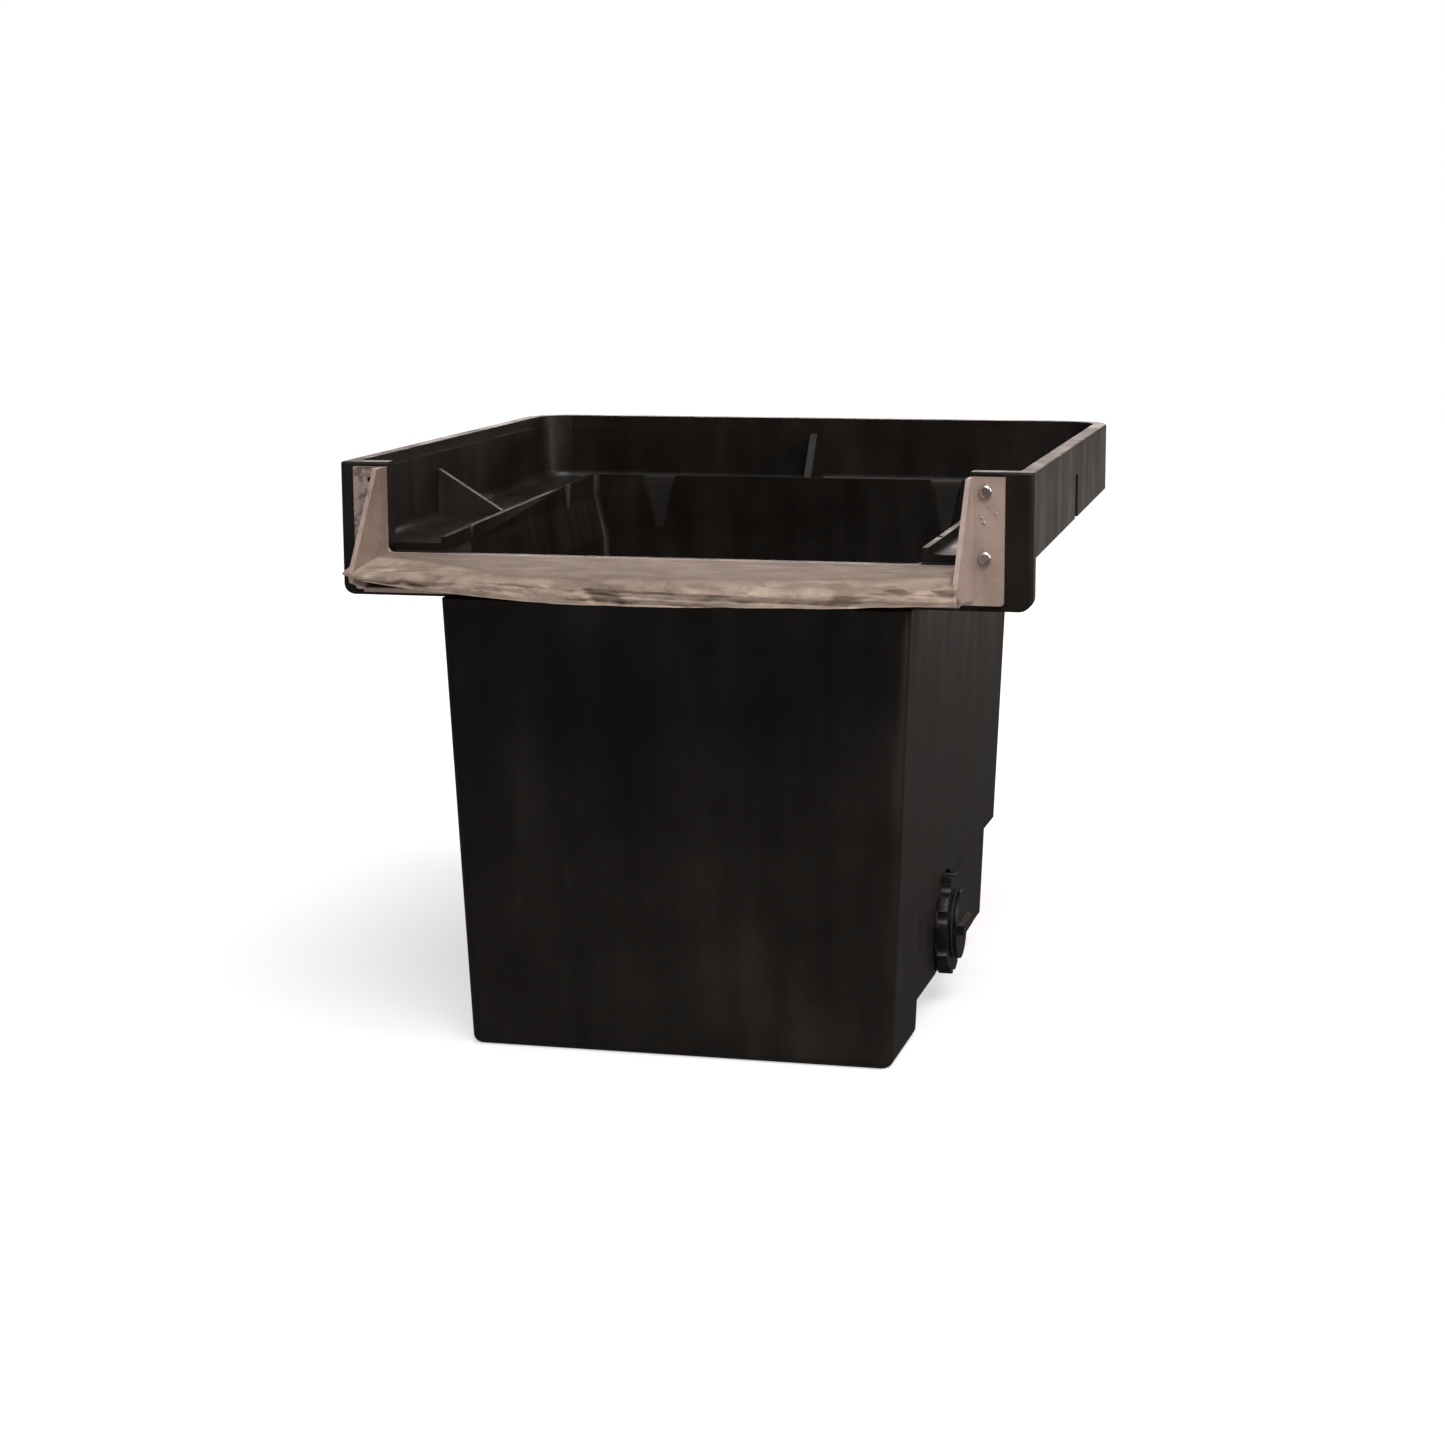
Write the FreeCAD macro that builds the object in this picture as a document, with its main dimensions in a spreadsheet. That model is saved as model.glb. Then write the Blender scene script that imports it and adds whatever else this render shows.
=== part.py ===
"""Spillway mixing tub: a deep moulded tub under a wide tray, with a framed pouring lip and a drain."""

import FreeCAD, Part
import math
import os
import re

import Sketcher

V = FreeCAD.Vector
doc = FreeCAD.newDocument("spillway_tub")

# ---------------------------------------------------------------- driving dimensions (mm)
DIMENSIONS = {
    # tray on top: outline, heights of its floor, skirt and apron
    "total_height": 573.0, "tray_width": 670.0, "tray_depth": 636.0, "tray_offset": 5.0,
    "tray_front": 300.0, "corner_back": 48.0, "corner_front": 5.0, "skin": 5.0,
    "wall_depth": 18.5, "rim_width": 14.5, "rim_drop": 11.0, "channel_depth": 8.5,
    "skirt_front": 493.0, "skirt_back": 503.0, "apron_bottom": 445.0, "apron_corner": 13.0,
    "floor_front": 490.0, "floor_back": 502.0, "floor_round": 9.0,
    # mouth of the tub in the tray floor, with its raised curb
    "mouth_half": 232.5, "mouth_spread": 10.0, "mouth_back": 270.0, "curb_width": 6.0,
    "curb_rise": 9.0, "curb_start": 274.0,
    # tub body under the tray
    "body_half": 210.0, "body_draft": 18.5, "body_spread": 9.0, "body_top": 444.0,
    "body_front": 298.0, "front_draft": 14.0, "body_back": 269.0, "back_draft": 7.0,
    "body_corner": 12.0, "bottom_round": 9.0, "step_level": 132.0, "step_back": 207.0,
    "foot_level": 37.0, "foot_depth": 135.0, "plinth_half": 185.0, "plinth_back": 150.0,
    # stiffening gussets and tapered flutes
    "gusset_rise": 46.0, "gusset_root": 30.0, "gusset_toe": 8.0, "gusset_left": -46.0,
    "gusset_lean": 18.0, "gusset_swing": 30.0,
    "gusset_right": 24.0, "slot_width": 20.0, "flute_pitch": 165.0, "flute_width": 42.0,
    "flute_height": 64.0, "flute_depth": 14.0,
    # pouring frame: flange, cheeks and sill shelf
    "opening_half": 281.5, "opening_sill": 487.0, "frame_half": 314.0, "frame_top": 569.0,
    "frame_bottom": 451.0, "frame_plate": 5.0, "gasket_plate": 1.5, "cheek_plate": 4.5,
    "cheek_top": 28.0, "cheek_reach": 92.0, "shelf_plate": 4.0, "shelf_level": 457.0,
    "frame_corner": 3.0, "sill_corner": 6.0,
    # stone-look lip
    "lip_top": 488.5, "lip_bottom": 461.2, "lip_reach": 94.0, "lip_bow": 65.0,
    "lip_chamfer": 4.0,
    # frame fixings
    "screw_offset": 296.5, "screw_high": 556.0, "screw_low": 495.0, "screw_bore": 6.8,
    "shank_width": 6.2, "screw_length": 18.0, "head_width": 12.6, "head_rise": 4.0,
    "insert_width": 8.6, "insert_length": 12.0,
    # bulkhead fitting and drain plug on the right-hand side
    "drain_level": 83.0, "drain_shift": -41.0, "pad_face": 214.5, "pad_depth": 7.5,
    "pad_width": 112.0, "barrel_width": 66.0, "bore_width": 54.0, "nut_width": 104.0,
    "flange_width": 80.0, "flange_plate": 8.0, "seal_plate": 4.0, "washer_plate": 1.5, "nut_plate": 13.0,
    "nut_lobes": 10.0, "plug_flange": 71.0, "plug_plate": 4.0, "plug_shank": 20.0,
    "ring_plate": 2.0, "fit_gap": 0.08,
}


def make_sheet():
    sheet = doc.addObject("Spreadsheet::Sheet", "Dimensions")
    for row, (alias, size) in enumerate(DIMENSIONS.items(), start=1):
        sheet.set(f"A{row}", alias)
        sheet.set(f"B{row}", str(size))
        sheet.setAlias(f"B{row}", alias)
    doc.recompute()
    return sheet


sheet = make_sheet()


def dim(alias):
    return float(getattr(sheet, alias))


# Side flutes as (Y place, width); the left gusset stands a little taller than the right one.
SIDE_FLUTES = ((-194.0, 16.0), (160.0, 26.0))
SIDE_FLUTE_DEPTH, SIDE_FLUTE_HEIGHT = 7.0, 40.0
LEFT_GUSSET_EXTRA = 10.0


# ---------------------------------------------------------------- shared helpers
def rounded_wire(corners, radii, level):
    """Closed plan outline at one level, each corner turned by an arc of its own radius."""
    edges = []
    count = len(corners)
    tangents = []
    for index in range(count):
        before = V(*corners[index - 1], level)
        here = V(*corners[index], level)
        after = V(*corners[(index + 1) % count], level)
        back = (before - here).normalize()
        ahead = (after - here).normalize()
        half = back.getAngle(ahead) / 2
        reach = radii[index] / math.tan(half)
        bisector = (back + ahead).normalize()
        centre = here + bisector * (radii[index] / math.sin(half))
        middle = centre - bisector * radii[index]
        tangents.append((here + back * reach, middle, here + ahead * reach))
    for index in range(count):
        start, middle, end = tangents[index]
        following = tangents[(index + 1) % count][0]
        edges.append(Part.Arc(start, middle, end).toShape())
        edges.append(Part.makeLine(end, following))
    return Part.Wire(edges)


def prism(corners, radii, low, high):
    face = Part.Face(rounded_wire(corners, radii, low))
    return face.extrude(V(0, 0, high - low))


def loft(lower, upper):
    return Part.makeLoft([lower, upper], True, True)


def box(x_low, x_high, y_low, y_high, z_low, z_high):
    return Part.makeBox(x_high - x_low, y_high - y_low, z_high - z_low, V(x_low, y_low, z_low))


def side_prism(profile, x_low, x_high):
    """Solid with a (Y, Z) side profile, carried across from x_low to x_high."""
    points = [V(x_low, y, z) for y, z in profile]
    face = Part.Face(Part.makePolygon(points + points[:1]))
    return face.extrude(V(x_high - x_low, 0, 0))


def tube_along_x(width, x_low, x_high, y_centre, z_centre):
    return Part.makeCylinder(width / 2, x_high - x_low, V(x_low, y_centre, z_centre), V(1, 0, 0))


def sub_part(label, shape):
    """A piece built from Part solids, named and placed in the document."""
    feature = doc.addObject("Part::Feature", label)
    feature.Label = label
    feature.Shape = shape
    feature.Placement = FreeCAD.Placement()
    return feature


# ---------------------------------------------------------------- tub shell
def tray_corners(inset, front_inset):
    left = dim("tray_offset") - dim("tray_width") / 2 + inset
    right = dim("tray_offset") + dim("tray_width") / 2 - inset
    front = -dim("tray_front") + front_inset
    back = -dim("tray_front") + dim("tray_depth") - inset
    return [(left, front), (right, front), (right, back), (left, back)]


def tray_prism(inset, front_inset, front_radius, low, high):
    back_radius = dim("corner_back") - inset
    radii = [front_radius, front_radius, back_radius, back_radius]
    return prism(tray_corners(inset, front_inset), radii, low, high)


def slope_level(front_alias, back_alias, y, lift=0.0):
    """Height of a surface that climbs steadily from the tray's front to its back."""
    share = (y + dim("tray_front")) / dim("tray_depth")
    return dim(front_alias) + (dim(back_alias) - dim(front_alias)) * share + lift


def slab_above(front_alias, back_alias, lift, ceiling):
    y_low, y_high = -420.0, 420.0
    profile = [
        (y_low, slope_level(front_alias, back_alias, y_low, lift)),
        (y_high, slope_level(front_alias, back_alias, y_high, lift)),
        (y_high, ceiling),
        (y_low, ceiling),
    ]
    return side_prism(profile, -500.0, 500.0)


def body_ring(level, inset, back=None):
    """Plan outline of the tub body at one level: wider upwards, and a little wider at the back."""
    share = level / dim("body_top")
    front_half = dim("body_half") + dim("body_draft") * share - inset
    front = -dim("body_front") - dim("front_draft") * share + inset
    full_back = dim("body_back") + dim("back_draft") * share
    back = full_back - inset if back is None else back - inset
    back_half = front_half + dim("body_spread") * (back - front) / (full_back - front)
    corners = [(-front_half, front), (front_half, front), (back_half, back), (-back_half, back)]
    radius = max(dim("body_corner") - inset, 3.0)
    return rounded_wire(corners, [radius] * 4, level)


def plinth_ring(level, inset):
    half = dim("plinth_half") - inset
    front = -dim("body_front") + dim("foot_depth") / 2
    back = dim("plinth_back") - inset
    corners = [(-half, front), (half, front), (half, back), (-half, back)]
    return rounded_wire(corners, [dim("body_corner") - inset / 2] * 4, level)


def mouth_corners(grow, front):
    half = dim("mouth_half") + grow
    back_half = half + dim("mouth_spread")
    back = dim("mouth_back") + grow
    return [(-half, front), (half, front), (back_half, back), (-back_half, back)]


def body_solid(inset):
    """Tub body, or with an inset its hollow, from the feet up to the ledge under the tray."""
    foot_back = -dim("body_front") + dim("foot_depth") - inset
    foot_top = dim("foot_level") + inset
    step_top = dim("step_level") + inset
    top = dim("body_top") - inset
    step_back = dim("step_back")
    foot = loft(body_ring(inset, inset, foot_back), body_ring(foot_top, inset, foot_back))
    plinth = loft(plinth_ring(inset, inset), plinth_ring(foot_top, inset))
    lower = loft(body_ring(foot_top, inset, step_back), body_ring(step_top, inset, step_back))
    upper = loft(body_ring(step_top, inset), body_ring(top, inset))
    if inset == 0.0:
        foot = round_bottom(foot)
        plinth = round_bottom(plinth)
    return foot.multiFuse([plinth, lower, upper])


def round_bottom(solid):
    low = solid.BoundBox.ZMin
    edges = [edge for edge in solid.Edges if edge.BoundBox.ZMax < low + 0.01]
    return solid.makeFillet(dim("bottom_round"), edges)


def throat(grow, low, high, front):
    """The flare between the tub body and its mouth in the tray floor."""
    share = low / dim("body_top")
    half = dim("body_half") + dim("body_draft") * share - dim("skin") + grow
    back_half = half + dim("body_spread")
    back = dim("body_back") + dim("back_draft") * share - dim("skin") + grow
    radius = dim("body_corner") - dim("skin") + grow
    corners = [(-half, front), (half, front), (back_half, back), (-back_half, back)]
    lower = rounded_wire(corners, [radius] * 4, low)
    upper = rounded_wire(mouth_corners(grow, front), [radius] * 4, high)
    return loft(lower, upper)


def wedge_gusset(root_half, crest, tip, wall, toe, low, top):
    """Gusset along X: wide at the wall, with a crest that runs down to its toe.

    The crest and the tip are each given as the two ends of a short line along Y.
    """
    root = [V(wall, -root_half, low), V(wall, root_half, low)]
    root += [V(wall, crest[1], top), V(wall, crest[0], top)]
    tip = [V(toe, tip[0], low), V(toe, tip[1], low)]
    faces = [
        Part.Face(Part.makePolygon(root + root[:1])),
        Part.Face(Part.makePolygon([root[0], root[1], tip[1], tip[0], root[0]])),
        Part.Face(Part.makePolygon([root[3], root[2], tip[1], tip[0], root[3]])),
        Part.Face(Part.makePolygon([root[1], root[2], tip[1], root[1]])),
        Part.Face(Part.makePolygon([root[0], root[3], tip[0], root[0]])),
    ]
    return Part.Solid(Part.Shell(faces))


def gusset_place(turn, x, y):
    return FreeCAD.Placement(V(x, y, 0), FreeCAD.Rotation(V(0, 0, 1), turn))


def gussets(shrink):
    """The left, right and back gussets, or with a shrink their hollows."""
    left = dim("tray_offset") - dim("tray_width") / 2
    right = left + dim("tray_width")
    back = dim("tray_depth") - dim("tray_front")
    start = dim("wall_depth") - 1.0 if shrink == 0.0 else dim("skin") + dim("channel_depth") / 2
    mouth = dim("mouth_half") + dim("mouth_spread") / 2 + dim("curb_width") / 2
    right_reach = right - mouth - shrink * 3
    back_reach = back - dim("mouth_back") - dim("curb_width") / 2 - shrink * 2
    rise = dim("gusset_rise")
    level = dim("floor_front")
    lean = (-dim("gusset_lean"), dim("gusset_swing"))
    left_reach = -left - mouth - shrink * 3
    upright = (0.0, 0.0)
    places = [
        (0.0, left, dim("gusset_left"), left_reach, level, rise + LEFT_GUSSET_EXTRA, 1.6, lean),
        (180.0, right, dim("gusset_right"), right_reach, level + 6.0, rise, 1.0, upright),
        (-90.0, dim("tray_offset"), back, back_reach, dim("floor_back"), rise + 9.0, 0.9, upright),
    ]
    solids = []
    for turn, x, y, reach, level, height, width, shifts in places:
        root = dim("gusset_root") / 2 * width - shrink
        toe = dim("gusset_toe") / 2 - shrink * 0.6
        crest, tip = [(shift - toe, shift + toe) for shift in shifts]
        low = level - 4.0 if shrink == 0.0 else level - 14.0
        solid = wedge_gusset(root, crest, tip, start, reach, low, level + height - shrink)
        solid.Placement = gusset_place(turn, x, y)
        solids.append(solid)
    return solids


def gusset_slots():
    """Slots through the side skirts where the hollow gussets open outwards."""
    left = dim("tray_offset") - dim("tray_width") / 2
    right = left + dim("tray_width")
    half = dim("slot_width") / 2
    top = dim("floor_front") + dim("gusset_rise") + 6.0
    depth = dim("skin") + 1.0
    slots = []
    for x_low, y in ((left - 1.0, dim("gusset_left")), (right - dim("skin"), dim("gusset_right"))):
        slots.append(box(x_low, x_low + depth, y - half, y + half, dim("apron_bottom"), top))
    return slots


def flute(width, depth, height, top):
    """Tapered recess: full width and depth at its top, closing to a point below, opening along -Y."""
    lower_half = width * 0.1
    lower = Part.makePolygon([V(-lower_half, -1, top - height), V(lower_half, -1, top - height),
                              V(lower_half, 0.5, top - height), V(-lower_half, 0.5, top - height),
                              V(-lower_half, -1, top - height)])
    inner_half = width * 0.38
    upper = Part.makePolygon([V(-width / 2, -1, top), V(width / 2, -1, top), V(inner_half, depth, top),
                              V(-inner_half, depth, top), V(-width / 2, -1, top)])
    return loft(lower, upper)


def flutes(grow):
    """Two flutes in the back wall of the mouth and two smaller ones in each side wall."""
    top = slope_level("floor_front", "floor_back", dim("mouth_back"), dim("curb_rise"))
    ceiling = top + 4.0 if grow == 0.0 else top - dim("curb_rise") / 2
    solids = []
    for side in (-1, 1):
        width, depth, height = dim("flute_width"), dim("flute_depth"), dim("flute_height")
        back = flute(width + grow * 2, depth + grow, height + grow, ceiling)
        back.Placement = gusset_place(0.0, side * dim("flute_pitch"), dim("mouth_back"))
        solids.append(back)
        for y, width in SIDE_FLUTES:
            share = (y + dim("tray_front")) / (dim("mouth_back") + dim("tray_front"))
            wall = dim("mouth_half") + dim("mouth_spread") * share
            small = flute(width + grow * 2, SIDE_FLUTE_DEPTH + grow, SIDE_FLUTE_HEIGHT + grow, ceiling)
            small.Placement = gusset_place(-90.0 * side, side * wall, y)
            solids.append(small)
    return solids


def tray_solid():
    """Tray walls with skirt and apron, its sloping floor and the curb round the mouth."""
    left, right = tray_corners(0.0, 0.0)[0][0], tray_corners(0.0, 0.0)[1][0]
    front = -dim("tray_front")
    walls = tray_prism(0.0, 0.0, dim("corner_front"), dim("apron_bottom") - 20.0, dim("total_height"))
    top_edges = [edge for edge in walls.Edges if edge.BoundBox.ZMin > dim("total_height") - 0.01]
    walls = walls.makeFillet(2.5, top_edges)
    skirted = walls.common(slab_above("skirt_front", "skirt_back", 0.0, 700.0))
    apron_top = dim("total_height") - 3.0
    apron = box(left, right, front, front + dim("wall_depth"), dim("apron_bottom"), apron_top)
    lower_corners = [edge for edge in apron.Edges
                     if edge.BoundBox.ZMax < dim("apron_bottom") + 0.01 and edge.BoundBox.XLength < 0.01]
    apron = apron.makeFillet(dim("apron_corner"), lower_corners)
    apron = apron.common(walls)
    inner = dim("skin") + dim("channel_depth")
    plate = tray_prism(inner, inner, 3.0, dim("apron_bottom"), dim("total_height") - 40.0)
    plate = plate.common(slab_above("floor_front", "floor_back", -dim("skin"), 700.0))
    return skirted.multiFuse([apron, plate])


def tray_hollow():
    """Everything taken out of the tray: its cavity, rim rebate, pouring opening and folded skirt."""
    post = dim("wall_depth")
    shelf_top = dim("total_height") - dim("rim_drop")
    cavity = tray_prism(post, post, 4.0, dim("apron_bottom") - 10.0, shelf_top)
    cavity = cavity.common(slab_above("floor_front", "floor_back", 0.0, 700.0))
    floor_edges = [edge for edge in cavity.Edges if edge.BoundBox.ZMax < dim("floor_back") + 0.01]
    cavity = cavity.makeFillet(dim("floor_round"), floor_edges)
    rebate = tray_prism(dim("rim_width"), post, 4.0, shelf_top, dim("total_height") + 1.0)
    half = dim("opening_half")
    front = -dim("tray_front")
    above = dim("total_height") + 1.0
    opening = box(-half, half, front - 1.0, front + post + 2.0, dim("opening_sill"), above)
    outer = tray_prism(dim("skin"), post + dim("skin"), 4.0, dim("apron_bottom") - 30.0, shelf_top - 6.0)
    depth = dim("skin") + dim("channel_depth")
    inner = tray_prism(depth, post, 4.0, dim("apron_bottom") - 40.0, dim("total_height"))
    return [cavity, rebate, opening, outer.cut(inner)]


def curb_solid():
    outline = mouth_corners(dim("curb_width"), -dim("curb_start"))
    top = dim("total_height")
    ring = prism(outline, [3.0, 3.0, 10.0, 10.0], dim("floor_front") - 8.0, top)
    curb = ring.cut(slab_above("floor_front", "floor_back", dim("curb_rise"), top + 10.0))
    return curb


def drain_pad():
    """Flat inner boss that the drain fitting seals on."""
    inner = dim("pad_face") - dim("pad_depth")
    width, outer = dim("pad_width") + 8.0, dim("pad_face") + 0.5
    return tube_along_x(width, inner, outer, dim("drain_shift"), dim("drain_level"))


def drain_cuts():
    y, z = dim("drain_shift"), dim("drain_level")
    face = dim("pad_face")
    spot = tube_along_x(dim("pad_width"), face, face + 30.0, y, z)
    bore = tube_along_x(dim("barrel_width") + 1.0, face - 40.0, face + 30.0, y, z)
    return [spot, bore]


def screw_points():
    spots = []
    for side in (-1, 1):
        for level in (dim("screw_high"), dim("screw_low")):
            spots.append((side * dim("screw_offset"), level))
    return spots


def cylinders_along_y(width, y_low, y_high, spots):
    solids = []
    for x, z in spots:
        solids.append(Part.makeCylinder(width / 2, y_high - y_low, V(x, y_low, z), V(0, 1, 0)))
    return solids


def tub_shell():
    """The one-piece black moulding: tray, skirt, apron, curb, gussets, throat and tub."""
    skin = dim("skin")
    front = -dim("tray_front")
    body_top = dim("body_top")
    throat_top = dim("floor_front") - 4.0
    outer_throat = throat(skin, body_top - skin, throat_top, front)
    ledge = body_solid(0.0)
    solid = tray_solid().multiFuse([outer_throat, ledge, drain_pad().common(body_solid(0.0)), curb_solid()])
    solid = solid.multiFuse(flutes(skin * 0.8))
    hollow = tray_hollow()
    solid = solid.cut(hollow[0].cut(curb_solid()).multiFuse(hollow[1:3]))
    solid = solid.multiFuse(gussets(0.0))
    solid = solid.cut(hollow[3])
    body_hollow = body_solid(skin).cut(drain_pad())
    inner_throat = throat(0.0, body_top - skin, throat_top, front + skin + 1.0)
    mouth = prism(mouth_corners(0.0, front + skin + 1.0), [7.0] * 4, throat_top, dim("total_height"))
    insert_end = front + dim("insert_length") + 0.2
    inserts = cylinders_along_y(dim("insert_width"), front - 1.0, insert_end, screw_points())
    cuts = [body_hollow, inner_throat, mouth] + flutes(0.0) + gussets(3.0) + gusset_slots()
    solid = solid.cut(Part.makeCompound(cuts[:3]).copy())
    for cut in cuts[3:] + drain_cuts() + inserts:
        solid = solid.cut(cut)
    return sub_part("tub_shell", solid.removeSplitter())


# ---------------------------------------------------------------- bound sizes
def bound(expression):
    """Turn plain alias names into links to the dimension sheet."""
    return re.sub(r"[a-z_]+", lambda found: f"Dimensions.{found.group()}", expression)


def value_of(expression):
    return float(sheet.evalExpression(bound(expression)))


def new_body(label):
    body = doc.addObject("PartDesign::Body", label)
    body.Label = label
    return body


def new_sketch(body, name, role, offset="0"):
    """Sketch on one of the body's own origin planes, shifted along the plane's normal."""
    sketch = body.newObject("Sketcher::SketchObject", name)
    plane = [item for item in body.Origin.OriginFeatures if item.Role == role][0]
    sketch.AttachmentSupport = (plane, [""])
    sketch.MapMode = "FlatFace"
    sketch.setExpression("AttachmentOffset.Base.z", bound(offset))
    return sketch


def pin_point(sketch, item, end, place):
    """Fix one end of a sketch line at a place given by two sheet expressions."""
    for kind, expression in zip(("DistanceX", "DistanceY"), place):
        index = sketch.addConstraint(Sketcher.Constraint(kind, -1, 1, item, end, value_of(expression)))
        sketch.setExpression(f"Constraints[{index}]", bound(expression))


def draw_polygon(sketch, places):
    points = [V(value_of(x), value_of(y), 0) for x, y in places]
    for index, start in enumerate(points):
        item = sketch.addGeometry(Part.LineSegment(start, points[(index + 1) % len(points)]), False)
        pin_point(sketch, item, 1, places[index])
        pin_point(sketch, item, 2, places[(index + 1) % len(places)])


def draw_circle(sketch, place, width):
    centre = V(value_of(place[0]), value_of(place[1]), 0)
    item = sketch.addGeometry(Part.Circle(centre, V(0, 0, 1), value_of(width) / 2), False)
    pin_point(sketch, item, 3, place)
    index = sketch.addConstraint(Sketcher.Constraint("Diameter", item, value_of(width)))
    sketch.setExpression(f"Constraints[{index}]", bound(width))


def pad(body, name, sketch, length, reverse=False):
    feature = body.newObject("PartDesign::Pad", name)
    feature.Profile = sketch
    feature.setExpression("Length", bound(length))
    feature.Reversed = reverse
    return feature


def pocket(body, name, sketch, length, reverse=False):
    feature = body.newObject("PartDesign::Pocket", name)
    feature.Profile = sketch
    feature.setExpression("Length", bound(length))
    feature.Reversed = reverse
    return feature


def edges_where(feature, keep):
    return [f"Edge{index}" for index, edge in enumerate(feature.Shape.Edges, start=1) if keep(edge)]


def round_edges(body, name, feature, radius, keep):
    doc.recompute()
    fillet = body.newObject("PartDesign::Fillet", name)
    fillet.Base = (feature, edges_where(feature, keep))
    fillet.setExpression("Radius", bound(radius))
    return fillet


# ---------------------------------------------------------------- pouring frame and lip
def u_outline(margin):
    """Outline of the U-shaped flange round the pouring opening, seen from the front."""
    out = f"frame_half - {margin}"
    inner = f"opening_half + {margin}"
    top = f"frame_top - {margin}"
    low = f"frame_bottom + {margin}"
    sill = f"opening_sill - {margin}"
    return [
        (f"-({out})", low), (out, low), (out, top), (inner, top),
        (inner, sill), (f"-({inner})", sill), (f"-({inner})", top), (f"-({out})", top),
    ]


def add_screw_holes(body, feature_name, start):
    holes = new_sketch(body, feature_name + "_sketch", "XZ_Plane", start)
    for side in ("-", ""):
        for level in ("screw_high", "screw_low"):
            draw_circle(holes, (f"{side}screw_offset", level), "screw_bore")
    return pocket(body, feature_name, holes, "frame_plate + gasket_plate")


def frame_gasket():
    body = new_body("frame_gasket")
    outline = new_sketch(body, "gasket_outline", "XZ_Plane", "tray_front")
    draw_polygon(outline, u_outline("2.0"))
    pad(body, "gasket_pad", outline, "gasket_plate")
    add_screw_holes(body, "gasket_holes", "tray_front + 4.0")
    return body


def spill_frame():
    """U-shaped flange, two slanting cheeks that reach forward, and the shelf that carries the lip."""
    body = new_body("spill_frame")
    face = "tray_front + gasket_plate"
    outline = new_sketch(body, "flange_outline", "XZ_Plane", face)
    draw_polygon(outline, u_outline("0.0"))
    flange = pad(body, "flange", outline, "frame_plate")
    corner = round_edges(body, "flange_corners", flange, "frame_corner", is_flange_corner)
    round_edges(body, "sill_corners", corner, "sill_corner", is_sill_corner)
    add_screw_holes(body, "flange_holes", "tray_front + gasket_plate + 6.0")
    front = "-(tray_front + gasket_plate + 1.0)"
    nose = "-(tray_front + cheek_reach)"
    cheek = [
        (front, "shelf_level - 2.0"), (f"{nose} + 22.0", "shelf_level + 5.0"),
        (f"{nose} - 5.0", "opening_sill - 18.0"), (f"{nose} - 8.0", "opening_sill - 9.0"),
        (nose, "opening_sill"), ("-(tray_front + cheek_top)", "frame_top"), (front, "frame_top"),
    ]
    for side, start in (("left", "-(opening_half + cheek_plate)"), ("right", "opening_half")):
        profile = new_sketch(body, side + "_cheek_profile", "YZ_Plane", start)
        draw_polygon(profile, cheek)
        pad(body, side + "_cheek", profile, "cheek_plate")
    shelf = new_sketch(body, "shelf_profile", "YZ_Plane", "-(opening_half + 1.0)")
    low, high = "shelf_level", "shelf_level + shelf_plate"
    shelf_nose = "-(tray_front + cheek_reach - 24.0)"
    draw_polygon(shelf, [(front, low), (shelf_nose, low), (shelf_nose, high), (front, high)])
    pad(body, "shelf", shelf, "opening_half * 2 + 2.0")
    return body


def is_flange_corner(edge):
    """True for the flange's two lower outside corners, which run along Y."""
    box_of_edge = edge.BoundBox
    straight = box_of_edge.XLength < 0.01 and box_of_edge.ZLength < 0.01
    outside = abs(box_of_edge.XMin) > dim("frame_half") - 1.0
    return straight and outside and box_of_edge.ZMin < dim("opening_sill")


def is_sill_corner(edge):
    """True for the two inside corners at the bottom of the opening, which run along Y."""
    box_of_edge = edge.BoundBox
    straight = box_of_edge.XLength < 0.01 and box_of_edge.ZLength < 0.01
    inside = abs(abs(box_of_edge.XMin) - dim("opening_half")) < 0.1
    return straight and inside and box_of_edge.ZMin < dim("opening_sill") + 1.0


def is_bowed_edge(edge):
    return edge.Length > 400 and edge.Curve.TypeId == "Part::GeomCircle"


def spill_lip():
    """Pouring ledge between the cheeks, bowed forward in the middle."""
    body = new_body("spill_lip")
    outline = new_sketch(body, "lip_outline", "XY_Plane", "lip_bottom")
    half = "opening_half - fit_gap"
    back = "-(tray_front + gasket_plate + frame_plate + fit_gap)"
    front = "-(tray_front + lip_reach)"
    places = [(half, front), (half, back), (f"-({half})", back), (f"-({half})", front)]
    points = [V(value_of(x), value_of(y), 0) for x, y in places]
    for index in range(3):
        item = outline.addGeometry(Part.LineSegment(points[index], points[index + 1]), False)
        pin_point(outline, item, 1, places[index])
        pin_point(outline, item, 2, places[index + 1])
    nose = V(0, value_of(f"{front} - lip_bow"), 0)
    arc = outline.addGeometry(Part.Arc(points[3], nose, points[0]), False)
    outline.addConstraint(Sketcher.Constraint("Coincident", arc, 1, 2, 2))
    outline.addConstraint(Sketcher.Constraint("Coincident", arc, 2, 0, 1))
    radius = f"(({half}) * ({half}) + lip_bow * lip_bow) / (2 * lip_bow)"
    index = outline.addConstraint(Sketcher.Constraint("Radius", arc, value_of(radius)))
    outline.setExpression(f"Constraints[{index}]", bound(radius))
    ledge = pad(body, "ledge", outline, "lip_top - lip_bottom")
    doc.recompute()
    chamfer = body.newObject("PartDesign::Chamfer", "worn_edges")
    chamfer.Base = (ledge, edges_where(ledge, is_bowed_edge))
    chamfer.setExpression("Size", bound("lip_chamfer"))
    return body


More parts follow.
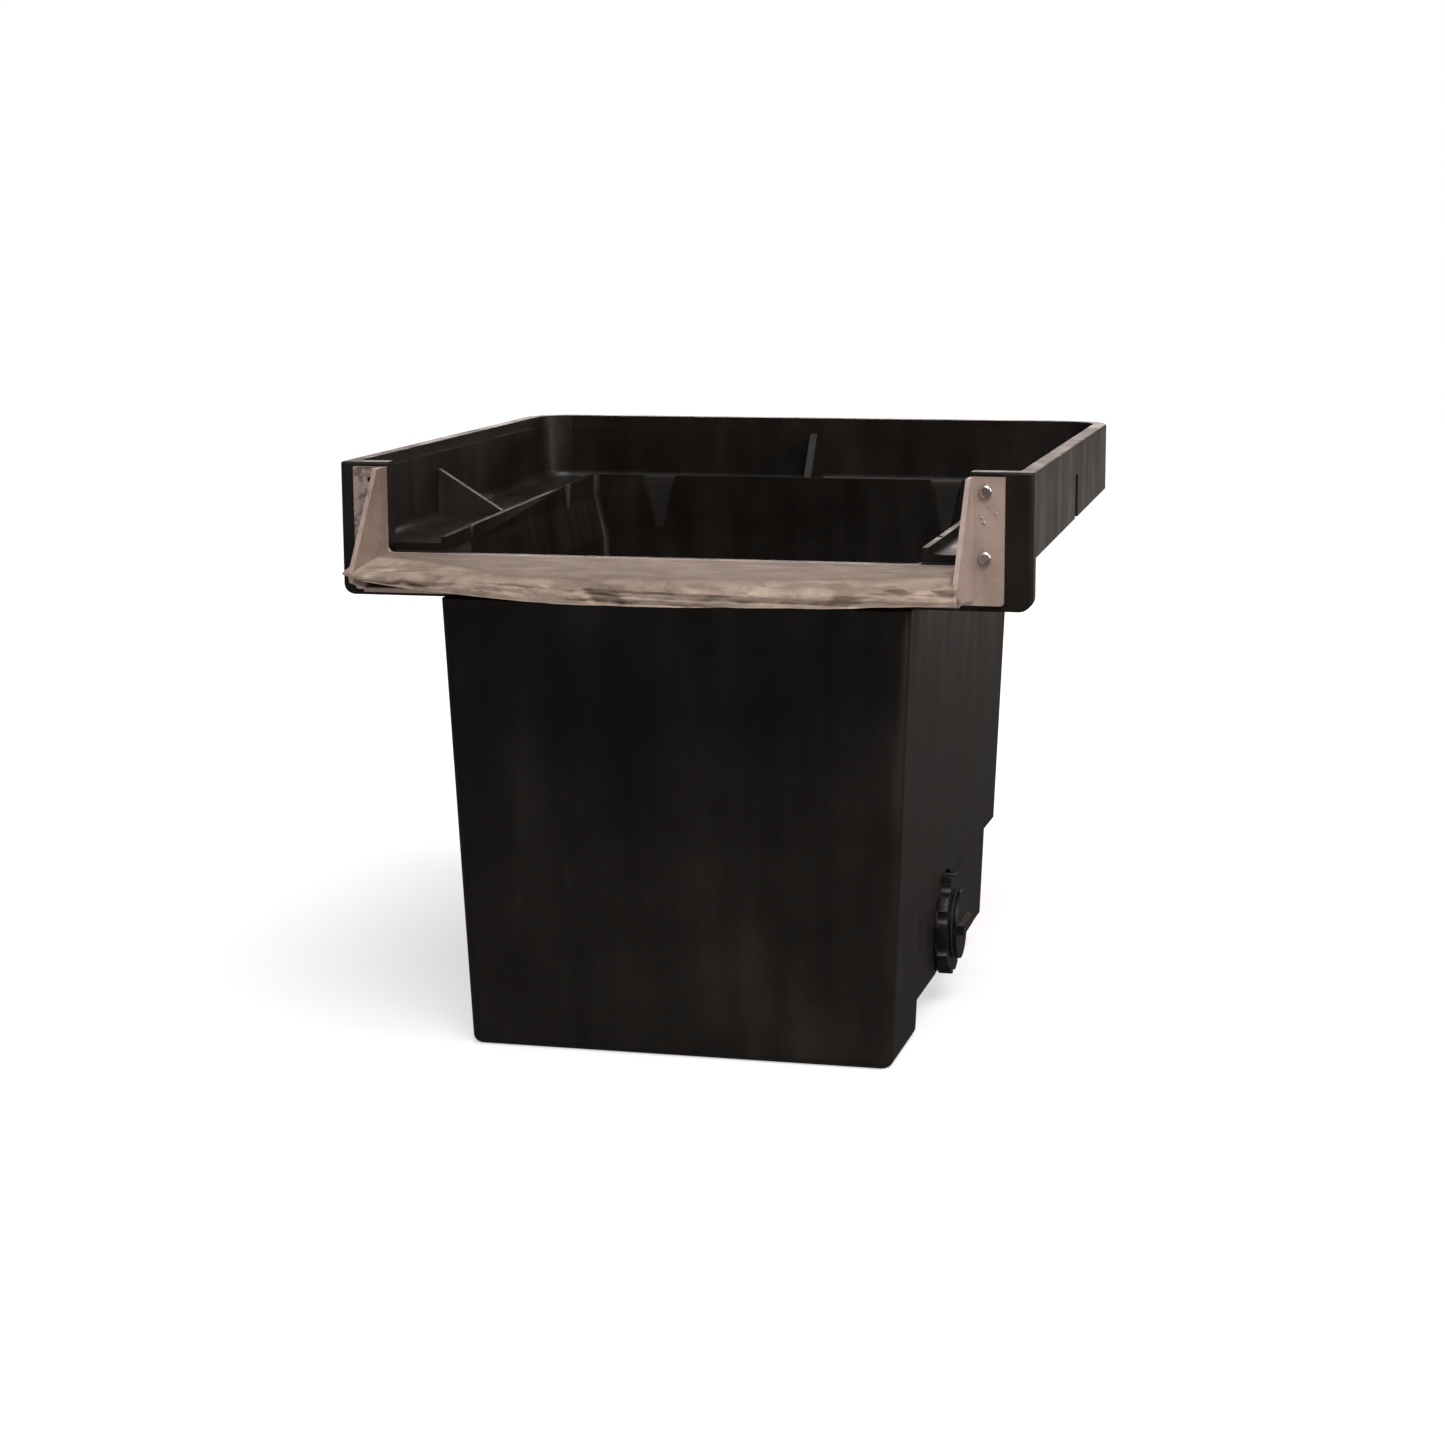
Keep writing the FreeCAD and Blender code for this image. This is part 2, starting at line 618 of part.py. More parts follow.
# ---------------------------------------------------------------- frame fixings
def pan_head_screw(x, z):
    """Pan-head machine screw with a cross recess, driven along +Y through the flange."""
    face = -(dim("tray_front") + dim("gasket_plate") + dim("frame_plate")) - 0.05
    head, rise, shank = dim("head_width") / 2, dim("head_rise"), dim("shank_width") / 2
    profile = [V(0, face - rise, 0), V(head * 0.55, face - rise, 0)]
    crown_middle, crown_end = V(head * 0.9, face - rise * 0.72, 0), V(head, face - rise * 0.3, 0)
    crown = Part.Arc(profile[1], crown_middle, crown_end).toShape()
    rest = Part.makePolygon([crown_end, V(head, face, 0), V(shank, face, 0),
                             V(shank, face + dim("screw_length"), 0), V(0, face + dim("screw_length"), 0),
                             profile[0], profile[1]])
    outline = Part.Wire(Part.sortEdges([crown] + rest.Edges)[0])
    screw = Part.Face(outline).revolve(V(0, 0, 0), V(0, 1, 0), 360)
    for turn in (45, 135):
        slot = box(-head * 0.5, head * 0.5, face - rise - 1, face - rise * 0.45, -0.75, 0.75)
        slot.rotate(V(0, 0, 0), V(0, 1, 0), turn)
        screw = screw.cut(slot)
    screw.translate(V(x, 0, z))
    return screw


def frame_screws():
    """Three screws: the upper hole of the left post is empty."""
    spots = [spot for spot in screw_points() if spot[0] > 0 or spot[1] < dim("screw_high")]
    return sub_part("frame_screws", Part.makeCompound([pan_head_screw(x, z) for x, z in spots]))


def post_inserts():
    """Brass threaded inserts set into the apron behind each screw hole."""
    start = -dim("tray_front") + 0.1
    length = dim("insert_length")
    solids = []
    for x, z in screw_points():
        origin, axis = V(x, start, z), V(0, 1, 0)
        insert = Part.makeCylinder(dim("insert_width") / 2 - 0.05, length, origin, axis)
        waist = Part.makeCylinder(dim("insert_width") / 2 - 0.6, 2.0, V(x, start + length / 2 - 1, z), axis)
        collar = Part.makeCylinder(dim("insert_width") / 2 + 1, 2.0, V(x, start + length / 2 - 1, z), axis)
        bore = Part.makeCylinder(dim("shank_width") / 2 + 0.05, length, origin, axis)
        solids.append(insert.cut(collar.cut(waist)).cut(bore))
    return sub_part("post_inserts", Part.makeCompound(solids))


# ---------------------------------------------------------------- drain fitting
# Where the outer end of the bulkhead's barrel meets the plug's seal ring.
PLUG_SEAT = "pad_face + washer_plate + nut_plate + 4.0 - 2.0 - fit_gap * 2"


def drain_cylinder(name, width, start, length):
    """Cylinder on the drain's axis, which runs along +X, with every size linked to the sheet."""
    cylinder = doc.addObject("Part::Cylinder", name)
    cylinder.Placement = FreeCAD.Placement(V(0, 0, 0), FreeCAD.Rotation(V(0, 1, 0), 90))
    cylinder.setExpression("Radius", bound(f"({width}) / 2"))
    cylinder.setExpression("Height", bound(length))
    cylinder.setExpression("Placement.Base.x", bound(start))
    cylinder.setExpression("Placement.Base.y", bound("drain_shift"))
    cylinder.setExpression("Placement.Base.z", bound("drain_level"))
    return cylinder


def cut_part(label, base, tool):
    cut = doc.addObject("Part::Cut", label)
    cut.Label = label
    cut.Base = base
    cut.Tool = tool
    return cut


def drain_ring(label, outer, inner, start, thickness):
    body = drain_cylinder(label + "_outer", outer, start, thickness)
    bore = drain_cylinder(label + "_bore", inner, f"{start} - 1.0", f"{thickness} + 2.0")
    return cut_part(label, body, bore)


def bulkhead_body():
    """Inner flange with the threaded barrel that passes out through the tub wall."""
    inner_face = "pad_face - pad_depth - seal_plate - fit_gap"
    flange_start = f"{inner_face} - flange_plate"
    flange = drain_cylinder("bulkhead_flange", "flange_width", flange_start, "flange_plate")
    barrel_length = "pad_depth + seal_plate + washer_plate + nut_plate + 4.0"
    barrel = drain_cylinder("bulkhead_barrel", "barrel_width", f"{inner_face} - 2.0", barrel_length)
    fuse = doc.addObject("Part::Fuse", "bulkhead_blank")
    fuse.Base = flange
    fuse.Tool = barrel
    bore = drain_cylinder("bulkhead_bore", "bore_width", f"{flange_start} - 1.0", "80.0")
    return cut_part("bulkhead_body", fuse, bore)


def stand_on_drain_axis(body, start):
    """Turn a body drawn along +Z to lie along the drain's axis, beginning at X = start."""
    body.Placement = FreeCAD.Placement(V(0, 0, 0), FreeCAD.Rotation(V(0, 1, 0), 90))
    body.setExpression("Placement.Base.x", bound(start))
    body.setExpression("Placement.Base.y", bound("drain_shift"))
    body.setExpression("Placement.Base.z", bound("drain_level"))


def bulkhead_nut():
    """Lobed hand nut on the outside: a ring with finger notches all round its edge."""
    body = new_body("bulkhead_nut")
    ring = new_sketch(body, "nut_ring", "XY_Plane")
    draw_circle(ring, ("0", "0"), "nut_width")
    draw_circle(ring, ("0", "0"), "barrel_width + fit_gap * 2")
    pad(body, "nut_blank", ring, "nut_plate")
    mouth = new_sketch(body, "notch_circle", "XY_Plane", "3.0")
    draw_circle(mouth, ("nut_width / 2 + 4.0", "0"), "18.0")
    notch = pocket(body, "finger_notch", mouth, "nut_plate", True)
    doc.recompute()
    pattern = body.newObject("PartDesign::PolarPattern", "finger_notches")
    pattern.Originals = [notch]
    axis = [item for item in body.Origin.OriginFeatures if item.Role == "Z_Axis"][0]
    pattern.Axis = (axis, [""])
    pattern.Angle = 360
    pattern.setExpression("Occurrences", bound("nut_lobes"))
    body.Tip = pattern
    stand_on_drain_axis(body, "pad_face + washer_plate + fit_gap * 2")
    return body


def drain_plug():
    """Screw-in plug: shank, flange and a cross bar for the hand."""
    body = new_body("drain_plug")
    shank = new_sketch(body, "shank_circle", "XY_Plane", "-plug_shank")
    draw_circle(shank, ("0", "0"), "bore_width - fit_gap * 2")
    pad(body, "plug_shank_pad", shank, "plug_shank + 1.0")
    hollow = new_sketch(body, "shank_hollow", "XY_Plane", "-plug_shank")
    draw_circle(hollow, ("0", "0"), "bore_width - 10.0")
    pocket(body, "shank_recess", hollow, "plug_shank - 3.0", True)
    flange = new_sketch(body, "plug_flange_circle", "XY_Plane")
    draw_circle(flange, ("0", "0"), "plug_flange")
    disc = pad(body, "plug_disc", flange, "plug_plate")
    bar = new_sketch(body, "bar_outline", "XY_Plane")
    half_bar, half_grip = "plug_flange / 2 - 6.0", "5.0"
    draw_polygon(bar, [(f"-({half_grip})", f"-({half_bar})"), (half_grip, f"-({half_bar})"),
                       (half_grip, half_bar), (f"-({half_grip})", half_bar)])
    pad(body, "grip_bar", bar, "plug_plate + 7.0")
    stand_on_drain_axis(body, PLUG_SEAT + " + ring_plate")
    return body


def drain_seals():
    """Flat rings: the gasket inside, the slip washer under the nut and the plug's seal."""
    drain_ring("bulkhead_gasket", "flange_width - 2.0", "barrel_width + 0.4",
               "pad_face - pad_depth - seal_plate", "seal_plate - fit_gap")
    drain_ring("bulkhead_washer", "nut_width - 6.0", "barrel_width + 0.4", "pad_face + fit_gap",
               "washer_plate")
    drain_ring("plug_seal", "plug_flange - 1.0", "bore_width + 0.6", PLUG_SEAT + " + fit_gap",
               "ring_plate - fit_gap * 2")


# ---------------------------------------------------------------- build, check and write
def sub_part_names():
    return [
        "tub_shell", "frame_gasket", "spill_frame", "spill_lip", "frame_screws", "post_inserts",
        "bulkhead_body", "bulkhead_gasket", "bulkhead_washer", "bulkhead_nut", "drain_plug", "plug_seal",
    ]


def main():
    tub_shell()
    frame_gasket()
    spill_frame()
    spill_lip()
    frame_screws()
    post_inserts()
    bulkhead_body()
    bulkhead_nut()
    drain_plug()
    drain_seals()
    doc.recompute()
    for item in doc.Objects:
        if "Invalid" in item.State or "Error" in item.State:
            raise RuntimeError(f"{item.Name} failed: {item.State}")
    os.makedirs("parts", exist_ok=True)
    for name in sub_part_names():
        shape = doc.getObjectsByLabel(name)[0].Shape
        if shape.isNull() or not shape.isValid():
            raise RuntimeError(f"{name} has no valid shape")
        shape.exportStep(f"parts/{name}.step")
        print(name, len(shape.Solids), round(shape.Volume), [round(v, 1) for v in (
            shape.BoundBox.XMin, shape.BoundBox.XMax, shape.BoundBox.YMin, shape.BoundBox.YMax,
            shape.BoundBox.ZMin, shape.BoundBox.ZMax)])


main()
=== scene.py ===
import math

import bmesh
import bpy
from mathutils import Matrix, Vector, noise


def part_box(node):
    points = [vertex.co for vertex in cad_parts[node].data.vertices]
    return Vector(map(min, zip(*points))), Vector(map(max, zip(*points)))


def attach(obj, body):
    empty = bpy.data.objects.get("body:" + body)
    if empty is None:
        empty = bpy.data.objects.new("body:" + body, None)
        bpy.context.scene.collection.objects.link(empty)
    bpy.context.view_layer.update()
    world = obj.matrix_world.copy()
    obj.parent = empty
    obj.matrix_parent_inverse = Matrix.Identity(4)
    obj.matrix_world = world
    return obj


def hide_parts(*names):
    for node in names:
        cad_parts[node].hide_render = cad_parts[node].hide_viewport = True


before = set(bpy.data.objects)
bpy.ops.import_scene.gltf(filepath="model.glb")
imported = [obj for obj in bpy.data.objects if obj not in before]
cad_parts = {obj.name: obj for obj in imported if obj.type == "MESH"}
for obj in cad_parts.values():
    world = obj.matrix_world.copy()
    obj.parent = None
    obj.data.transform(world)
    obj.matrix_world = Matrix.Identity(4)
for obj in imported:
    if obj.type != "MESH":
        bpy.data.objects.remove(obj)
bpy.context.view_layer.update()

LIP_LOW, LIP_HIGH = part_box("spill_lip")
FRAME_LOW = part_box("spill_frame")[0]
WARM = (1.0, 0.84, 0.77)


# ---------------------------------------------------------------- node helpers
def new_material(name, colour, roughness, specular=0.5):
    material = bpy.data.materials.new(name)
    material.use_nodes = True
    shader = material.node_tree.nodes["Principled BSDF"]
    shader.inputs["Base Color"].default_value = (*colour, 1.0)
    shader.inputs["Roughness"].default_value = roughness
    shader.inputs["Specular IOR Level"].default_value = specular
    return material, material.node_tree, shader


def add_node(tree, kind, **settings):
    node = tree.nodes.new(kind)
    for key, setting in settings.items():
        setattr(node, key, setting)
    return node


def object_coordinates(tree, scale=(1.0, 1.0, 1.0)):
    """Object coordinates in metres; CAD objects sit at the origin, so this is the part's frame."""
    source = add_node(tree, "ShaderNodeTexCoord")
    mapping = add_node(tree, "ShaderNodeMapping")
    mapping.inputs["Scale"].default_value = scale
    tree.links.new(source.outputs["Object"], mapping.inputs["Vector"])
    return mapping.outputs["Vector"]


def noise_value(tree, vector, scale, detail=4.0, roughness=0.55, distortion=0.0):
    node = add_node(tree, "ShaderNodeTexNoise")
    node.inputs["Scale"].default_value = scale
    node.inputs["Detail"].default_value = detail
    node.inputs["Roughness"].default_value = roughness
    node.inputs["Distortion"].default_value = distortion
    tree.links.new(vector, node.inputs["Vector"])
    return node.outputs["Fac"]


def ramp(tree, value, stops):
    node = add_node(tree, "ShaderNodeValToRGB")
    node.color_ramp.elements[0].position = stops[0][0]
    node.color_ramp.elements[0].color = (*stops[0][1], 1.0)
    node.color_ramp.elements[1].position = stops[-1][0]
    node.color_ramp.elements[1].color = (*stops[-1][1], 1.0)
    for place, colour in stops[1:-1]:
        node.color_ramp.elements.new(place).color = (*colour, 1.0)
    tree.links.new(value, node.inputs["Fac"])
    return node.outputs["Color"]


def remap(tree, value, low, high, from_low=0.0, from_high=1.0):
    node = add_node(tree, "ShaderNodeMapRange")
    node.inputs["From Min"].default_value = from_low
    node.inputs["From Max"].default_value = from_high
    node.inputs["To Min"].default_value = low
    node.inputs["To Max"].default_value = high
    tree.links.new(value, node.inputs["Value"])
    return node.outputs["Result"]


def mix_colour(tree, share, first, second):
    node = add_node(tree, "ShaderNodeMix", data_type="RGBA")
    sockets = (node.inputs["Factor"], node.inputs[6], node.inputs[7])
    for socket, source in zip(sockets, (share, first, second)):
        if isinstance(source, (int, float)):
            socket.default_value = source
        elif isinstance(source, tuple):
            socket.default_value = (*source, 1.0)
        else:
            tree.links.new(source, socket)
    return node.outputs[2]


def bump(tree, shader, height, strength, distance):
    node = add_node(tree, "ShaderNodeBump")
    node.inputs["Strength"].default_value = strength
    node.inputs["Distance"].default_value = distance
    tree.links.new(height, node.inputs["Height"])
    tree.links.new(node.outputs["Normal"], shader.inputs["Normal"])


def multiply(tree, first, second):
    node = add_node(tree, "ShaderNodeMath", operation="MULTIPLY")
    for socket, source in zip(node.inputs, (first, second)):
        if isinstance(source, (int, float)):
            socket.default_value = source
        else:
            tree.links.new(source, socket)
    return node.outputs["Value"]


def add_values(tree, first, second):
    node = add_node(tree, "ShaderNodeMath", operation="ADD")
    tree.links.new(first, node.inputs[0])
    tree.links.new(second, node.inputs[1])
    return node.outputs["Value"]


# ---------------------------------------------------------------- materials
def black_polyethylene():
    """Moulded black polyethylene: faint mottling, soft vertical streaks and a fine orange peel."""
    material, tree, shader = new_material("black_polyethylene", (0.007, 0.006, 0.005), 0.5, 0.26)
    plain = object_coordinates(tree)
    streaked = object_coordinates(tree, (1.0, 1.0, 0.08))
    mottle = noise_value(tree, plain, 9.0, 5.0, 0.6)
    streaks = noise_value(tree, streaked, 34.0, 3.0, 0.5)
    both = add_values(tree, multiply(tree, mottle, 0.55), multiply(tree, streaks, 0.45))
    colour = ramp(tree, both, [(0.36, (0.0050, 0.0036, 0.0026)), (0.52, (0.0076, 0.0056, 0.0042)),
                               (0.66, (0.0125, 0.0096, 0.0076))])
    tree.links.new(colour, shader.inputs["Base Color"])
    tree.links.new(remap(tree, both, 0.36, 0.58, 0.36, 0.64), shader.inputs["Roughness"])
    peel = noise_value(tree, plain, 420.0, 2.0)
    waves = noise_value(tree, plain, 14.0, 2.0)
    height = add_values(tree, multiply(tree, peel, 0.25), multiply(tree, waves, 1.0))
    bump(tree, shader, height, 0.35, 0.0012)
    return material


def taupe_moulding():
    """Smooth taupe moulding: faint flow mottle, and grout-dark specks that crowd on the left post."""
    material, tree, shader = new_material("taupe_moulding", (0.33, 0.26, 0.215), 0.42, 0.4)
    plain = object_coordinates(tree)
    mottle = noise_value(tree, plain, 16.0, 5.0, 0.62, 0.6)
    base = ramp(tree, mottle, [(0.30, (0.205, 0.152, 0.128)), (0.52, (0.275, 0.204, 0.173)),
                               (0.74, (0.335, 0.255, 0.220))])
    place = add_node(tree, "ShaderNodeSeparateXYZ")
    tree.links.new(plain, place.inputs[0])
    left = remap(tree, place.outputs["X"], 1.0, 0.0, -0.300, -0.272)
    specks = noise_value(tree, plain, 210.0, 2.0, 0.7)
    grime = noise_value(tree, plain, 60.0, 4.0, 0.65)
    sparse = remap(tree, specks, 0.0, 0.45, 0.62, 0.76)
    crowded = multiply(tree, left, remap(tree, add_values(tree, multiply(tree, specks, 0.5),
                                                          multiply(tree, grime, 0.5)), 0.0, 0.85, 0.50, 0.60))
    colour = mix_colour(tree, sparse, base, (0.105, 0.078, 0.062))
    colour = mix_colour(tree, crowded, colour, (0.085, 0.062, 0.048))
    tree.links.new(colour, shader.inputs["Base Color"])
    tree.links.new(remap(tree, mottle, 0.34, 0.52, 0.3, 0.7), shader.inputs["Roughness"])
    height = add_values(tree, noise_value(tree, plain, 90.0, 3.0), multiply(tree, specks, 0.3))
    bump(tree, shader, height, 0.18, 0.0006)
    return material


def cast_stone():
    """Cast lip: smooth taupe on top, split-stone browns and creams where the surface is broken, with painted
    shade in dark crevice patches, a painted highlight along its edges, and the top painted darker and the
    broken front lighter to even out the light on them.
    """
    material, tree, shader = new_material("cast_stone_lip", (0.29, 0.22, 0.18), 0.6, 0.12)
    plain = object_coordinates(tree)
    stretched = object_coordinates(tree, (1.0, 1.9, 2.8))
    layers = noise_value(tree, stretched, 21.0, 7.0, 0.60, 1.1)
    patches = noise_value(tree, plain, 24.0, 4.0, 0.55, 0.4)
    # The broken stone is set lighter, partly its own split-stone tone and partly painted light on the less
    # lit front face.
    stone = ramp(tree, layers, [(0.28, (0.170, 0.124, 0.094)), (0.42, (0.252, 0.190, 0.150)),
                                (0.56, (0.310, 0.238, 0.190)), (0.74, (0.400, 0.318, 0.256))])
    # painted shade: random dark patches on the broken stone stand in for shade in its crevices
    crevice_shade = remap(tree, patches, 0.55, 0.0, 0.32, 0.42)
    stone = mix_colour(tree, crevice_shade, stone, (0.125, 0.092, 0.070))
    # The smooth top is its own cast finish, set darker partly as painted shade on the more lit top.
    smooth = ramp(tree, patches, [(0.3, (0.150, 0.110, 0.089)), (0.7, (0.192, 0.143, 0.117))])
    broken = add_node(tree, "ShaderNodeAttribute", attribute_name="broken")
    colour = mix_colour(tree, broken.outputs["Fac"], smooth, stone)
    # painted highlight: the edge attribute mixes a pale cream in along the lip's edges
    edge = add_node(tree, "ShaderNodeAttribute", attribute_name="edge")
    colour = mix_colour(tree, multiply(tree, edge.outputs["Fac"], 0.6), colour, (0.47, 0.38, 0.31))
    tree.links.new(colour, shader.inputs["Base Color"])
    tree.links.new(remap(tree, layers, 0.48, 0.78, 0.3, 0.7), shader.inputs["Roughness"])
    grain = noise_value(tree, plain, 240.0, 4.0, 0.6)
    bump(tree, shader, add_values(tree, multiply(tree, grain, 0.4), layers), 0.4, 0.0012)
    return material


def stainless():
    material, tree, shader = new_material("stainless_screws", (0.62, 0.59, 0.56), 0.28, 0.5)
    shader.inputs["Metallic"].default_value = 1.0
    plain = object_coordinates(tree)
    scuffs = noise_value(tree, plain, 700.0, 3.0)
    tree.links.new(remap(tree, scuffs, 0.2, 0.42), shader.inputs["Roughness"])
    shade = noise_value(tree, plain, 160.0, 3.0)
    tint = ramp(tree, shade, [(0.3, (0.50, 0.47, 0.44)), (0.7, (0.72, 0.69, 0.66))])
    tree.links.new(tint, shader.inputs["Base Color"])
    bump(tree, shader, scuffs, 0.15, 0.0002)
    return material


def brass():
    material, tree, shader = new_material("brass_inserts", (0.62, 0.42, 0.17), 0.32, 0.5)
    shader.inputs["Metallic"].default_value = 1.0
    plain = object_coordinates(tree)
    dull = noise_value(tree, plain, 300.0, 3.0)
    tint = ramp(tree, dull, [(0.3, (0.42, 0.27, 0.10)), (0.7, (0.66, 0.46, 0.20))])
    tree.links.new(tint, shader.inputs["Base Color"])
    tree.links.new(remap(tree, dull, 0.25, 0.5), shader.inputs["Roughness"])
    return material


def fitting_plastic():
    """Injection-moulded black plastic, glossier than the tub."""
    material, tree, shader = new_material("black_fitting", (0.006, 0.005, 0.0045), 0.4, 0.28)
    plain = object_coordinates(tree)
    haze = noise_value(tree, plain, 60.0, 4.0)
    colour = ramp(tree, haze, [(0.3, (0.0040, 0.0034, 0.0030)), (0.7, (0.0085, 0.0072, 0.0063))])
    tree.links.new(colour, shader.inputs["Base Color"])
    tree.links.new(remap(tree, haze, 0.34, 0.50, 0.3, 0.7), shader.inputs["Roughness"])
    bump(tree, shader, noise_value(tree, plain, 500.0, 2.0), 0.12, 0.0003)
    return material


def soft_rubber(name):
    material, tree, shader = new_material(name, (0.02, 0.02, 0.02), 0.8, 0.3)
    plain = object_coordinates(tree)
    grain = noise_value(tree, plain, 350.0, 3.0)
    colour = ramp(tree, grain, [(0.3, (0.012, 0.012, 0.012)), (0.7, (0.03, 0.029, 0.028))])
    tree.links.new(colour, shader.inputs["Base Color"])
    bump(tree, shader, grain, 0.4, 0.0003)
    return material


def pale_floor():
    """White studio floor with a glow of its own, so that shadows on it stay light."""
    material, _, shader = new_material("pale_floor", (0.42, 0.42, 0.42), 0.75, 0.2)
    shader.inputs["Emission Color"].default_value = (1.0, 1.0, 1.0, 1.0)
    shader.inputs["Emission Strength"].default_value = 0.58
    return material


# bevel width and segments of each CAD node whose edges are rounded
SOFTENED = {
    "tub_shell": (0.0013, 3), "spill_frame": (0.0009, 3),
    "bulkhead_nut": (0.0012, 2), "drain_plug": (0.0008, 2),
}
WELD_DISTANCE = 0.00002
SHARP_ANGLE = math.radians(38)


def soften_edges(node, width, segments):
    """Round a CAD node's sharp edges a little, so that they catch the light as moulded ones do."""
    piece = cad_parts[node]
    weld = piece.modifiers.new("weld", "WELD")
    weld.merge_threshold = WELD_DISTANCE
    bevel = piece.modifiers.new("bevel", "BEVEL")
    bevel.width = width
    bevel.segments = segments
    bevel.limit_method = "ANGLE"
    bevel.angle_limit = SHARP_ANGLE
    bevel.harden_normals = True
    bevel.use_clamp_overlap = True


def dress_cad_nodes():
    black = black_polyethylene()
    taupe = taupe_moulding()
    fitting = fitting_plastic()
    rubber = soft_rubber("black_rubber")
    finishes = {
        "tub_shell": black, "spill_frame": taupe, "frame_gasket": soft_rubber("black_foam"),
        "frame_screws": stainless(), "post_inserts": brass(), "bulkhead_body": fitting,
        "bulkhead_nut": fitting, "drain_plug": fitting, "bulkhead_gasket": rubber,
        "plug_seal": rubber, "bulkhead_washer": soft_rubber("slip_washer"),
    }
    for node, material in finishes.items():
        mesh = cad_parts[node].data
        mesh.materials.clear()
        mesh.materials.append(material)
    flange_pips(taupe)
    for node, (width, segments) in SOFTENED.items():
        soften_edges(node, width, segments)


# ---------------------------------------------------------------- stone-look lip
LIP_STATIONS = 460
TOP_ROWS, FRONT_ROWS, UNDER_ROWS = 34, 26, 6
LIP_RIGHT = LIP_HIGH.x + 0.0035
LIP_LEFT = LIP_LOW.x - 0.0130
CHEEK_INSIDE = LIP_HIGH.x - 0.0004
LIP_SPAN = LIP_RIGHT - LIP_LEFT
LIP_BACK = LIP_HIGH.y
LIP_NOSE = LIP_LOW.y
LIP_END = FRAME_LOW.y - 0.0030
LIP_TOP = LIP_HIGH.z
LIP_BOTTOM = LIP_LOW.z


def smoothstep(low, high, value):
    share = min(1.0, max(0.0, (value - low) / (high - low)))
    return share * share * (3 - 2 * share)


def wander(x, y, z):
    return noise.noise(Vector((x, y, z)))


def chipped(x, y, z, rough=0.9):
    """Sharp-ridged noise, roughly 0 to 2.2."""
    return noise.ridged_multi_fractal(Vector((x, y, z)), rough, 2.1, 5, 1.0, 2.0)


def lip_front(x):
    """Front edge in plan: bowed forward in the middle, with shallow broken bays."""
    share = min(1.0, abs(x) / LIP_HIGH.x)
    bow = LIP_END + (LIP_NOSE + 0.004 - LIP_END) * (1 - share * share)
    bays = wander(x * 9.0, 3.1, 0.0) * 0.0035 + wander(x * 31.0, 7.7, 0.0) * 0.0018
    tuck = 0.010 * smoothstep(LIP_LEFT + 0.014, LIP_LEFT, x)
    return bow + bays * (1 - share ** 6) + tuck


def lip_back(x):
    """Inner edge: along the frame between the cheeks, with a short return outside them."""
    steps = 0.0006 * smoothstep(0.0, 0.25, wander(x * 5.0, 9.0, 2.0))
    steps += 0.0010 * wander(x * 24.0, 6.0, 2.0)
    outside = smoothstep(CHEEK_INSIDE, CHEEK_INSIDE + 0.0006, abs(x))
    reach = 0.050 if x < 0 else 0.012
    return (LIP_BACK - 0.0008 - abs(steps)) * (1 - outside) + (LIP_END + reach) * outside


def lip_underside(x):
    """The lip thins out towards its left end."""
    thin = max(0.0, 1.0 - (x - LIP_LEFT) / LIP_SPAN / 0.34)
    return LIP_BOTTOM + 0.0120 * thin ** 1.3 + 0.0016 + wander(x * 14.0, 1.7, 4.0) * 0.0014


def lip_section(x):
    """Closed outline of the lip at one station, from the inner top edge round the front.

    Each point is (y, z, broken, edge); edge is the share of painted highlight along the inner top edge and
    near the foot of the front face.
    """
    share = (x - LIP_LEFT) / LIP_SPAN
    front, inner, low = lip_front(x), lip_back(x), lip_underside(x)
    high = LIP_TOP - 0.0010 - 0.0016 * smoothstep(0.25, 0.0, share)
    brow = 0.014 + 0.012 * wander(x * 7.0, 5.0, 0.0) + 0.008 * wander(x * 21.0, 5.5, 0.0)
    brow = max(0.003, brow + 0.055 * smoothstep(0.34, 0.04, share) + 0.016 * smoothstep(0.66, 0.84, share))
    sag = 0.0040 + 0.0016 * wander(x * 4.0, 0.5, 8.0)
    section = []
    for step in range(TOP_ROWS):
        along = step / (TOP_ROWS - 1)
        y = inner + (front + 0.003 - inner) * along
        ahead = y - (front + brow)
        rough = smoothstep(0.006, -0.006, ahead)
        drop = sag * along ** 3 + 0.0030 * smoothstep(0.0, -brow, ahead)
        crack = chipped(x * 16.0, y * 45.0, 3.0)
        hollow = smoothstep(0.10, 0.42, wander(x * 26.0, y * 34.0, 6.0))
        ripple = wander(x * 12.0, y * 22.0, 1.0) * 0.0004 * (1 - along)
        z = high - drop - rough * (0.0022 - crack * 0.0009 + hollow * 0.0022) + ripple
        # painted highlight along the inner top edge
        brim_highlight = 0.6 * smoothstep(0.05, 0.0, along)
        section.append((y, min(z, LIP_TOP), rough, brim_highlight))
    top_front = section[-1][1]
    for step in range(1, FRONT_ROWS):
        down = step / (FRONT_ROWS - 1)
        z = top_front + (low - top_front) * down
        strata = wander(x * 5.0, 2.0, z * 170.0 + x * 6.0)
        chips = chipped(x * 30.0, 4.0, z * 95.0, 0.8)
        hollow = smoothstep(0.08, 0.40, wander(x * 24.0, 8.0, z * 60.0)) * math.sin(math.pi * down)
        ledge = smoothstep(-0.08, 0.10, strata) - 0.5
        bulge = math.sin(math.pi * min(1.0, down * 1.05)) * 0.0022
        y = front - bulge - ledge * 0.0028 - (chips - 1.1) * 0.0018 + 0.0022 * down + 0.0040 * hollow
        # the last item is the share of painted highlight near the foot of the front face
        section.append((max(y, LIP_NOSE - 0.0035), z, 1.0, smoothstep(0.86, 0.98, down)))
    last_y, last_z = section[-1][:2]
    for step in range(1, UNDER_ROWS):
        back = step / UNDER_ROWS
        hang = 0.0006 * math.sin(math.pi * back)
        section.append((last_y + (inner - last_y) * back, last_z - hang, 0.4, 0.0))
    section.append((inner, last_z, 0.2, 0.0))
    return section


